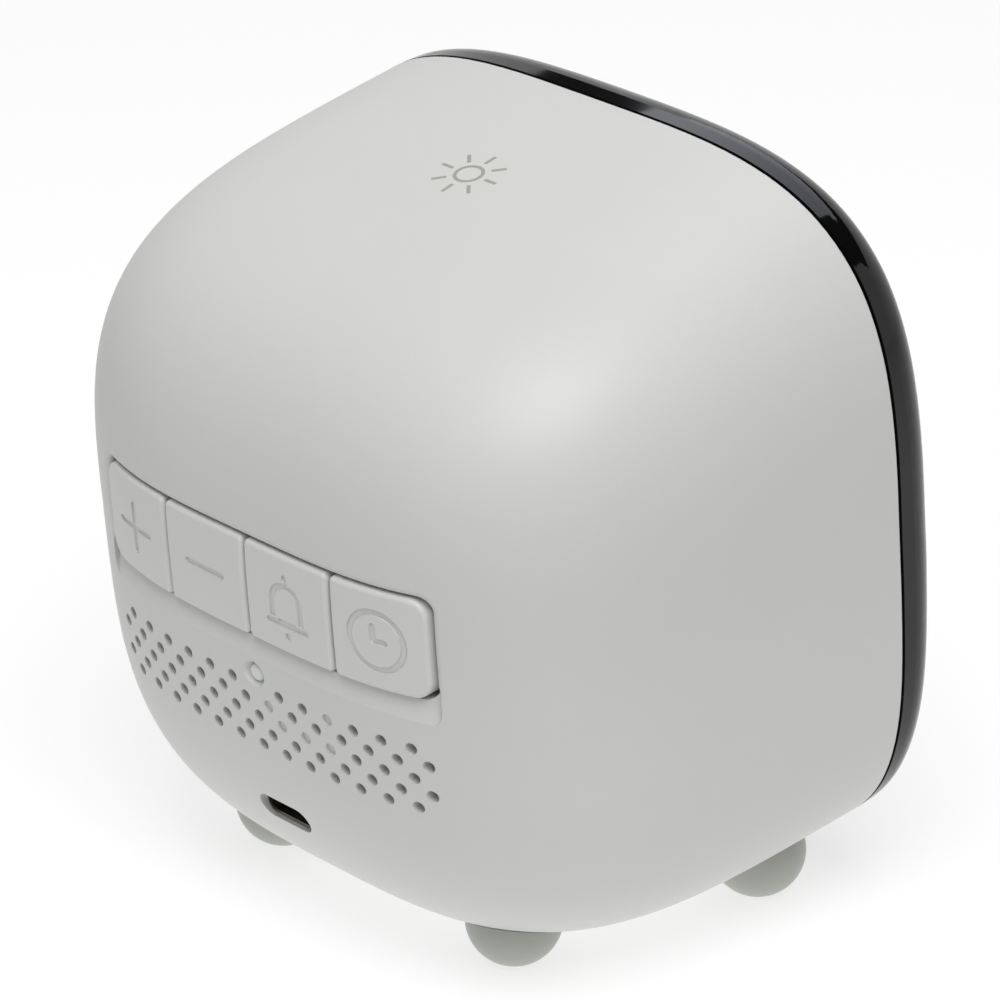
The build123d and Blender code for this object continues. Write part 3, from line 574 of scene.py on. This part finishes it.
def numeral_meshes(looks):
    """Lit and unlit bars of the time shown, with the lit colon"""
    solid = frame["nodes"]["digit_segments"].data
    front = min(vertex.co.dot(back_dir) for vertex in solid.vertices)
    rise = middle_of("digit_segments").dot(up_dir)
    lit, unlit = bmesh.new(), bmesh.new()
    for index, digit in enumerate(looks.time_shown):
        x = (index - (len(looks.time_shown) - 1) / 2) * looks.digit_pitch
        for key, (along, level, upright) in bar_places(looks).items():
            mesh = lit if key in SEGMENTS[digit] else unlit
            place = (x + along, rise + level, front)
            add_bar(mesh, looks, bar_outline(looks, upright), place)
    turns = [2 * pi * n / DOT_STEPS for n in range(DOT_STEPS)]
    dot = [(looks.colon_radius * cos(turn), looks.colon_radius * sin(turn)) for turn in turns]
    level = (looks.digit_height - looks.bar_width) / 4
    for side in (-1, 1):
        add_bar(lit, looks, dot, (0, rise + side * level, front))
    return lit, unlit


def turned(u, v, turn):
    """Point turned round the mark's middle"""
    return u * cos(turn) - v * sin(turn), u * sin(turn) + v * cos(turn)


def ring_rows(looks):
    """Rows of points round the sun's ring, each from its inner to its outer edge"""
    edges = (looks.ring_radius - looks.stroke, looks.ring_radius)
    turns = [2 * pi * n / RING_STEPS for n in range(RING_STEPS + 1)]
    return [[turned(edge, 0, turn) for edge in edges] for turn in turns]


def ray_rows(looks, turn):
    """Rows of points along one of the sun's rays, each across its stroke"""
    span = looks.ray_end - looks.ray_start
    reaches = [looks.ray_start + span * n / RAY_STEPS for n in range(RAY_STEPS + 1)]
    edges = (-looks.stroke / 2, looks.stroke / 2)
    return [[turned(reach, edge, turn) for edge in edges] for reach in reaches]


def add_print(mesh, rows, middle, top, film):
    """Film of ink over the shell: rows of points round the middle, laid on the surface"""
    laid = []
    for row in rows:
        line = []
        for u, v in row:
            start = middle + side_dir * u + back_dir * v + up_dir * DROP_HEIGHT
            place, normal, _, _ = top.ray_cast(start, -up_dir)
            under = mesh.verts.new(place - normal * film)
            over = mesh.verts.new(place + normal * film)
            line.append((under, over))
        laid.append(line)
    for (a, b), (d, c) in zip(laid, laid[1:]):
        mesh.faces.new((a[1], b[1], c[1], d[1]))
        mesh.faces.new((d[0], c[0], b[0], a[0]))
        mesh.faces.new((a[0], a[1], d[1], d[0]))
        mesh.faces.new((c[0], c[1], b[1], b[0]))
    # A ray needs its two ends closed, and the ring meets itself
    if (Vector(rows[0][0]) - Vector(rows[-1][0])).length > film:
        for a, b in (laid[0], laid[-1]):
            mesh.faces.new((a[0], a[1], b[1], b[0]))


def sun_mesh(looks, top):
    """Ring and rays of the sun, laid on the shell over the touch plate"""
    middle = middle_of("touch_plate")
    mesh = bmesh.new()
    add_print(mesh, ring_rows(looks), middle, top, looks.film)
    for ray in range(RAYS):
        add_print(mesh, ray_rows(looks, 2 * pi * ray / RAYS), middle, top, looks.film)
    bmesh.ops.remove_doubles(mesh, verts=mesh.verts, dist=JOIN_WITHIN)
    bmesh.ops.recalc_face_normals(mesh, faces=mesh.faces)
    return mesh


def point_at(holder, aim, azimuth, elevation, distance):
    """Stand a camera, lamp or card round a point and turn it to that point"""
    level = cos(elevation)
    out = Vector((sin(azimuth) * level, -cos(azimuth) * level, sin(elevation)))
    holder.location = aim + out * distance
    holder.rotation_euler = (-out).to_track_quat("-Z", "Y").to_euler()


def add_camera(scene, looks):
    """Camera at the photograph's angle"""
    camera = bpy.data.cameras.new("camera")
    camera.lens = looks.lens
    camera.clip_start = 0.01
    holder = add_object("camera", camera)
    point_at(holder, Vector(looks.aim), looks.azimuth, looks.elevation, looks.distance)
    scene.camera = holder


def add_key_light(looks):
    """Large soft square lamp"""
    lamp = bpy.data.lights.new("key", "AREA")
    lamp.size = looks.key_size
    lamp.energy = looks.key_power
    holder = add_object("key", lamp)
    turn, rise = looks.key_azimuth, looks.key_elevation
    point_at(holder, Vector(looks.aim), turn, rise, looks.key_distance)


def add_card(name, size, tone, glow=0.0):
    """Card that only gloss shows: dark, or lit like a soft box"""
    material, finish = new_finish(name)
    finish.surface(Base_Color=tone, Roughness=0.9, Emission_Color=tone, Emission_Strength=glow)
    card = add_sheet(name, size, material)
    card.visible_camera = card.visible_diffuse = False
    card.visible_shadow = card.visible_transmission = False
    return card


def add_cards(looks, aim):
    """Dark card over the front, and a slanted strip of light before it"""
    card = add_card("dark_card", looks.card_size, (looks.card,) * 3)
    point_at(card, aim, looks.card_azimuth, looks.card_elevation, looks.card_distance)
    strip = add_card("light_strip", looks.strip_size, looks.strip, looks.strip_glow)
    point_at(strip, aim, looks.strip_azimuth, looks.strip_elevation, looks.strip_distance)
    strip.rotation_euler.rotate_axis("Z", looks.strip_roll)


def seen_directly(finish):
    """1 for rays from the camera, a mirror or clear glass"""
    kinds = ("Is Camera Ray", "Is Glossy Ray", "Is Transmission Ray")
    camera, glossy, clear = (finish.node("ShaderNodeLightPath", {}, {}, kind) for kind in kinds)
    return finish.math("MAXIMUM", finish.math("MAXIMUM", camera, glossy), clear)


def mixed(finish, factor, first, second):
    """Shader between two shaders"""
    inputs = {"Fac": factor, "Shader": first, "Shader_001": second}
    return finish.node("ShaderNodeMixShader", {}, inputs)


def white_light(finish, kind, strength):
    """White emission or background of a strength"""
    return finish.node(kind, {}, {"Color": (1, 1, 1), "Strength": strength})


def add_floor(looks):
    """White paper in the picture, with the clock's shadow, and a table that lights the clock"""
    material, finish = new_finish("floor_paper")
    paper = finish.node("ShaderNodeBsdfDiffuse", {}, {"Color": (looks.floor,) * 3})
    lift, near, far = (
        white_light(finish, "ShaderNodeEmission", strength)
        for strength in (looks.floor_lift, looks.table_near, looks.table_far)
    )
    lifted = finish.node("ShaderNodeAddShader", {}, {"Shader": paper, "Shader_001": lift})
    settings, inputs = {"operation": "LENGTH"}, {"Vector": finish.place()}
    out = finish.node("ShaderNodeVectorMath", settings, inputs, "Value")
    fall = finish.step(out, looks.table_reach, softness=looks.table_reach * 0.8)
    table = mixed(finish, fall, near, far)
    both = mixed(finish, seen_directly(finish), table, lifted)
    finish.node("ShaderNodeOutputMaterial", {}, {"Surface": both})
    floor = add_sheet("floor", (looks.floor_size,) * 2, material)
    floor.location.z = -looks.floor_drop


def set_world(scene, looks):
    """White all round in the picture, and on the clock a light that grows towards overhead"""
    world = bpy.data.worlds.new("studio")
    world.use_nodes = True
    scene.world = world
    finish = Finish(world.node_tree)
    low, high, white = (
        white_light(finish, "ShaderNodeBackground", strength)
        for strength in (looks.sky_low, looks.sky_high, 1.0)
    )
    rise = finish.math("MAXIMUM", finish.along((0, 0, 1), "Generated"), 0)
    fill = mixed(finish, rise, low, high)
    both = mixed(finish, seen_directly(finish), fill, white)
    finish.node("ShaderNodeOutputWorld", {}, {"Surface": both})


class DressShell(bpy.types.Operator):
    """Give the rear shell its fine-grained grey moulding"""

    bl_idname = "clock.dress_shell"
    bl_label = "Rear shell"

    def execute(self, context):
        looks = context.scene.clock_case
        dress(moulded("shell_moulding", looks.shell, looks, looks.roughness), "rear_shell")
        return {"FINISHED"}


class DressKeys(bpy.types.Operator):
    """Give the four keys their satin grey and their plungers a black moulding"""

    bl_idname = "clock.dress_keys"
    bl_label = "Keys"

    def execute(self, context):
        looks = context.scene.clock_case
        satin = moulded("key_moulding", looks.keys, looks, roughness=0.42, grain_share=0.8)
        black = plain_plastic("plunger_plastic", (0.02, 0.02, 0.02), roughness=0.45)
        dress(satin, *key_caps())
        dress(black, *solids_named("plunger_"))
        return {"FINISHED"}


class DressFeet(bpy.types.Operator):
    """Give the ball feet their darker satin rubber"""

    bl_idname = "clock.dress_feet"
    bl_label = "Ball feet"

    def execute(self, context):
        looks = context.scene.clock_case
        rubber = moulded("foot_rubber", looks.feet, looks, roughness=0.38, grain_share=1.3)
        dress(rubber, *solids_named("foot_"))
        return {"FINISHED"}


class DressFront(bpy.types.Operator):
    """Give the lens its polished black with a smoked window, and the frame a black moulding"""

    bl_idname = "clock.dress_front"
    bl_label = "Front lens and frame"

    def execute(self, context):
        dress(lens_gloss(context.scene.clock_front), "front_lens")
        black = plain_plastic("frame_plastic", (0.018, 0.018, 0.018), roughness=0.5)
        dress(black, "front_frame", "lens_tape")
        return {"FINISHED"}


class AddNumerals(bpy.types.Operator):
    """Stand lit and unlit bars in the display's numeral block"""

    bl_idname = "clock.add_numerals"
    bl_label = "Numerals"

    def execute(self, context):
        looks = context.scene.clock_front
        lit, unlit = numeral_meshes(looks)
        piece = add_piece("numerals_lit", lit, bar_light(looks), "case")
        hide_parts("digit_segments")
        dark = plain_plastic("bar_unlit", looks.unlit, roughness=0.5)
        add_piece("numerals_unlit", unlit, dark, "case")
        black = plain_plastic("housing_plastic", (0.008, 0.008, 0.008), roughness=0.6)
        dress(black, "display_housing")
        return {"FINISHED"}


class AddSunMark(bpy.types.Operator):
    """Print the sun on the shell's top, over its touch plate"""

    bl_idname = "clock.add_sun_mark"
    bl_label = "Sun mark"

    def execute(self, context):
        looks = context.scene.clock_mark
        shell = frame["nodes"]["rear_shell"]
        top = BVHTree.FromObject(shell, context.evaluated_depsgraph_get())
        add_piece("sun_mark", sun_mesh(looks, top), sun_ink(looks), "case")
        return {"FINISHED"}


class DressInlet(bpy.types.Operator):
    """Give the power inlet its plated shell and black tongue, and the indicator its milky lens"""

    bl_idname = "clock.dress_inlet"
    bl_label = "Inlet and indicator"

    def execute(self, context):
        # The socket's warm dark tone is partly its plating's colour and partly painted shade: the metal
        # is made darker than bare plating so that the inside of the slot looks dark
        plating = plated_metal("socket_plating", (0.30, 0.265, 0.23), roughness=0.34)
        dress(plating, "usb_socket")
        black = plain_plastic("tongue_plastic", (0.012, 0.011, 0.010), roughness=0.4)
        dress(black, "usb_tongue")
        dress(indicator_milk(context.scene.clock_case), "light_pipe")
        cream = plain_plastic("led_body", (0.75, 0.74, 0.66), roughness=0.35)
        dress(cream, "indicator_led")
        return {"FINISHED"}


class DressInside(bpy.types.Operator):
    """Give the boards, screws, speaker, cell and leads inside their finishes"""

    bl_idname = "clock.dress_inside"
    bl_label = "Inner pieces"

    def execute(self, context):
        dress(printed_board("board_mask"), "main_board", "key_board", "usb_board")
        screws = [name for name in frame["nodes"] if name.endswith("screws")]
        for name, tone, roughness, solids in (
            ("screw_plating", (0.62, 0.62, 0.60), 0.32, screws),
            ("cell_steel", (0.66, 0.66, 0.65), 0.22, ["backup_cell", "speaker_frame"]),
            ("magnet_plating", (0.42, 0.42, 0.43), 0.4, ["speaker_magnet"]),
            ("touch_foil", (0.80, 0.45, 0.28), 0.35, ["touch_plate"]),
        ):
            dress(plated_metal(name, tone, roughness), *solids)
        for name, tone, roughness, solids in (
            ("chip_resin", (0.014, 0.014, 0.014), 0.55, ["controller_chip", "key_switches"]),
            ("holder_plastic", (0.03, 0.03, 0.032), 0.5, ["cell_holder", "speaker_clamp"]),
            ("lead_red", (0.35, 0.02, 0.015), 0.45, ["usb_lead", "touch_lead"]),
            ("lead_black", (0.015, 0.015, 0.015), 0.45, ["speaker_lead", "key_cable"]),
        ):
            dress(plain_plastic(name, tone, roughness), *solids)
        dress(foam("gasket_foam", (0.22, 0.22, 0.21)), "speaker_gasket")
        dress(foam("cone_paper", (0.30, 0.29, 0.27)), "speaker_cone")
        return {"FINISHED"}


class SetStage(bpy.types.Operator):
    """Set the pale floor, the soft light, the cards and the camera at the photograph's angle"""

    bl_idname = "clock.set_stage"
    bl_label = "Stage"

    def execute(self, context):
        scene = context.scene
        scene.view_settings.view_transform = "Standard"
        add_floor(scene.clock_stage)
        set_world(scene, scene.clock_stage)
        add_camera(scene, scene.clock_stage)
        add_key_light(scene.clock_stage)
        add_cards(scene.clock_gloss, Vector(scene.clock_stage.aim))
        return {"FINISHED"}


class ClockPanel(bpy.types.Panel):
    """Lists the clock's sizes, colours and pieces"""

    bl_idname = "VIEW3D_PT_clock"
    bl_label = "Bedside clock"
    bl_space_type = "VIEW_3D"
    bl_region_type = "UI"
    bl_category = "Clock"

    def draw(self, context):
        for name in LOOKS:
            group = getattr(context.scene, name)
            for key in group.__annotations__:
                self.layout.prop(group, key)
        for operator in OPERATORS:
            self.layout.operator(operator.bl_idname)


LOOKS = {
    "clock_case": CaseLooks,
    "clock_mark": MarkLooks,
    "clock_front": FrontLooks,
    "clock_stage": StageLooks,
    "clock_gloss": GlossLooks,
}
OPERATORS = (
    DressShell, DressKeys, DressFeet, DressFront, AddNumerals,
    AddSunMark, DressInlet, DressInside, SetStage,
)


def register():
    """Make the clock's settings, operators and panel known"""
    for made in (*LOOKS.values(), *OPERATORS, ClockPanel):
        bpy.utils.register_class(made)
    for name, group in LOOKS.items():
        setattr(bpy.types.Scene, name, PointerProperty(type=group))


def unregister():
    """Take them away again"""
    for name in LOOKS:
        delattr(bpy.types.Scene, name)
    for made in reversed((*LOOKS.values(), *OPERATORS, ClockPanel)):
        bpy.utils.unregister_class(made)


def main():
    """Dress the clock and set its stage"""
    register()
    for operator in OPERATORS:
        group, name = operator.bl_idname.split(".")
        getattr(getattr(bpy.ops, group), name)()


if __name__ == "__main__":
    main()
